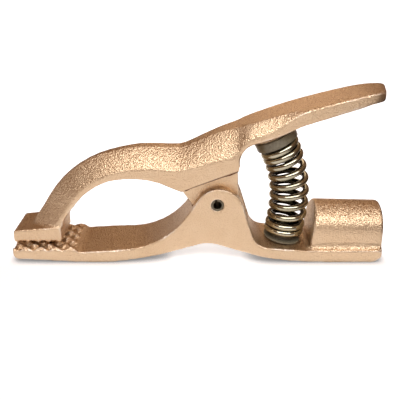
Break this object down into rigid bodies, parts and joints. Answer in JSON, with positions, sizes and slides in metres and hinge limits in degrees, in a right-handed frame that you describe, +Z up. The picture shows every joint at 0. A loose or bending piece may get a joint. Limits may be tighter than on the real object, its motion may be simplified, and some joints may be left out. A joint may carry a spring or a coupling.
{
  "type": "spring clamp",
  "caption": "Spring-jawed welding earth clamp: two cast copper-alloy levers on a rolled pin, toothed jaws, a bowed compression spring between the handles and a cable socket.",
  "frame": {"origin": "middle of the clamp in plan, on the surface that it lies on", "axes": "+X from the jaws to the cable socket, +Y across the clamp, +Z up"},
  "size_m": [0.1914, 0.032, 0.0888],
  "materials": {
    "cast_alloy": "sand-cast, blasted copper alloy",
    "plated_wire": "zinc-plated spring steel",
    "dark_steel": "oiled black steel",
    "fibre": "insulating fibre, matt"
  },
  "bodies": {
    "lower": {"lower_lever": "cast_alloy", "pivot_pin": "dark_steel", "lower_spring_seat": "fibre", "compression_spring": "plated_wire"},
    "upper": {"upper_lever": "cast_alloy", "upper_spring_seat": "fibre"},
    "inner_screw": {"cable_screw_inner": "dark_steel"},
    "outer_screw": {"cable_screw_outer": "dark_steel"}
  },
  "joints": [
    {"name": "jaw_hinge", "type": "hinge", "parent": "lower", "child": "upper", "pos_m": [0.01, 0, 0.03073], "axis": [0, 1, 0], "range_deg": [0, 16], "stiffness_Nm_per_rad": 1.5, "springref_deg": -22.92, "deforming": ["compression_spring"]},
    {"name": "inner_screw_travel", "type": "slide", "parent": "lower", "child": "inner_screw", "axis": [0, 0, 1], "range_m": [0, 0.006]},
    {"name": "outer_screw_travel", "type": "slide", "parent": "lower", "child": "outer_screw", "axis": [0, 0, 1], "range_m": [0, 0.006]}
  ]
}
